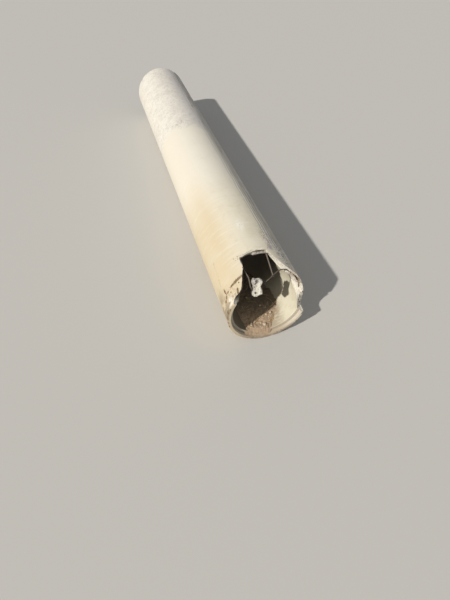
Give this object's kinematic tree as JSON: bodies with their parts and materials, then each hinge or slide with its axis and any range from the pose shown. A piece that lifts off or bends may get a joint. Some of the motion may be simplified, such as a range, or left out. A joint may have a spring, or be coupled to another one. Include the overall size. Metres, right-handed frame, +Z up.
{
  "type": "concrete sewer pipe",
  "caption": "Reinforced concrete sewer pipe with a rebated joint, its socket end broken open, bare cage wires and a hanging lump of concrete.",
  "frame": {"origin": "on the ground under the middle of the pipe", "axes": "+Y along the pipe from the broken socket end to the tongue end, +Z up, +X to the right seen from the broken end"},
  "size_m": [0.362, 2.44, 0.362],
  "materials": {
    "cast_concrete": "cast, weathered and mottled",
    "broken_concrete": "rough fracture",
    "rusty_wire": "drawn wire, rusted dull"
  },
  "bodies": {
    "root": {"pipe_barrel": "cast_concrete", "concrete_lump": "broken_concrete", "hoop_wire_bent": "rusty_wire", "hoop_wire_edge": "rusty_wire", "long_wire_right": "rusty_wire", "long_wire_left": "rusty_wire"}
  },
  "joints": []
}
